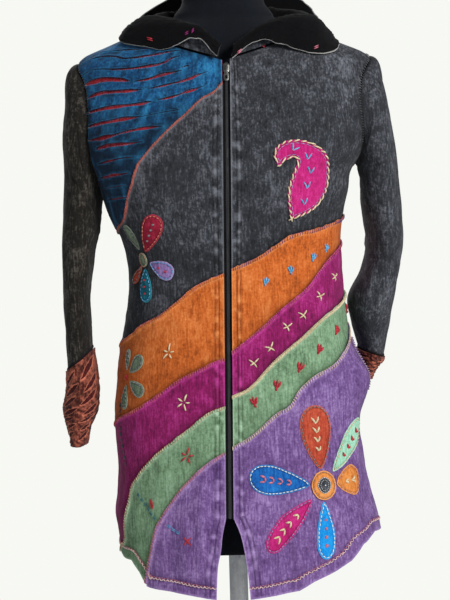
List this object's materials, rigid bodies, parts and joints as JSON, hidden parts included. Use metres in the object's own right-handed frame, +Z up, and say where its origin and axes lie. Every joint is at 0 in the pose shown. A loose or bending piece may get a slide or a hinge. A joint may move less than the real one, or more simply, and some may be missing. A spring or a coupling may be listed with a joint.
{
  "type": "long hooded patchwork coat on a limbless dress form",
  "caption": "Long zip-front hooded coat of slanting patchwork bands with a slashed yoke and flower patches, worn by a limbless dress form on a pole stand.",
  "frame": {"origin": "middle of the stand's base plate, on its underside", "axes": "+Z up along the pole; the coat's front faces -Y; the wearer's left is at +X"},
  "size_m": [0.5004, 0.3406, 1.52],
  "materials": {
    "charcoal_cloth": "stonewashed brushed cotton",
    "black_fleece": "fleece",
    "orange_cloth": "stonewashed cotton",
    "magenta_cloth": "stonewashed cotton",
    "green_cloth": "stonewashed cotton",
    "purple_cloth": "stonewashed cotton",
    "blue_cloth": "stonewashed cotton, slashed",
    "red_cloth": "cotton underlayer",
    "rust_cloth": "cotton, slashed",
    "magenta_applique": "cotton patch",
    "rust_applique": "cotton patch",
    "red_applique": "cotton patch",
    "mint_applique": "cotton patch",
    "orange_applique": "cotton patch",
    "blue_applique": "cotton patch",
    "dark_applique": "cotton patch",
    "teal_applique": "cotton patch",
    "lilac_applique": "cotton patch",
    "grey_applique": "cotton patch",
    "zip_tape": "woven tape",
    "zip_metal": "worn nickel",
    "form_cover": "matt black",
    "stand_steel": "brushed",
    "stand_base": "satin black"
  },
  "bodies": {
    "coat_and_form": {"back_green": "green_cloth", "back_magenta": "magenta_cloth", "back_orange": "orange_cloth", "back_purple": "purple_cloth", "back_upper": "charcoal_cloth", "cuff_slashed_left_back": "rust_cloth", "cuff_slashed_left_front": "rust_cloth", "cuff_slashed_right_back": "rust_cloth", "cuff_slashed_right_front": "rust_cloth", "cuff_underlayer_left": "red_cloth", "cuff_underlayer_right": "red_cloth", "form_torso": "form_cover", "front_left_green": "green_cloth", "front_left_magenta": "magenta_cloth", "front_left_orange": "orange_cloth", "front_left_purple": "purple_cloth", "front_left_upper": "charcoal_cloth", "front_right_green": "green_cloth", "front_right_magenta": "magenta_cloth", "front_right_orange": "orange_cloth", "front_right_purple": "purple_cloth", "front_right_upper": "charcoal_cloth", "hood_lining": "black_fleece", "hood_outer": "charcoal_cloth", "patch_big_bottom": "blue_applique", "patch_big_eye": "dark_applique", "patch_big_left": "blue_applique", "patch_big_lower_left": "magenta_applique", "patch_big_middle": "orange_applique", "patch_big_right": "orange_applique", "patch_big_top": "rust_applique", "patch_big_upper_right": "mint_applique", "patch_green_foot": "grey_applique", "patch_green_low": "grey_applique", "patch_green_right": "grey_applique", "patch_green_top": "grey_applique", "patch_paisley": "magenta_applique", "patch_small_bottom": "teal_applique", "patch_small_leaf": "grey_applique", "patch_small_middle": "grey_applique", "patch_small_rust": "rust_applique", "patch_small_side": "lilac_applique", "patch_small_top": "red_applique", "pocket_welt": "purple_cloth", "sleeve_left": "charcoal_cloth", "sleeve_right": "charcoal_cloth", "stand_base": "stand_base", "stand_pole": "stand_steel", "yoke_slashed": "blue_cloth", "yoke_underlayer": "red_cloth", "zip_coil": "zip_tape", "zip_slider": "zip_metal", "zip_tape_left": "zip_tape", "zip_tape_right": "zip_tape"},
    "zip_pull": {"zip_pull": "zip_metal"}
  },
  "joints": [
    {"name": "zip_pull_hinge", "type": "hinge", "parent": "coat_and_form", "child": "zip_pull", "pos_m": [0.00178, -0.09509, 1.32524], "axis": [-1, 0, 0], "range_deg": [0, 140]}
  ]
}
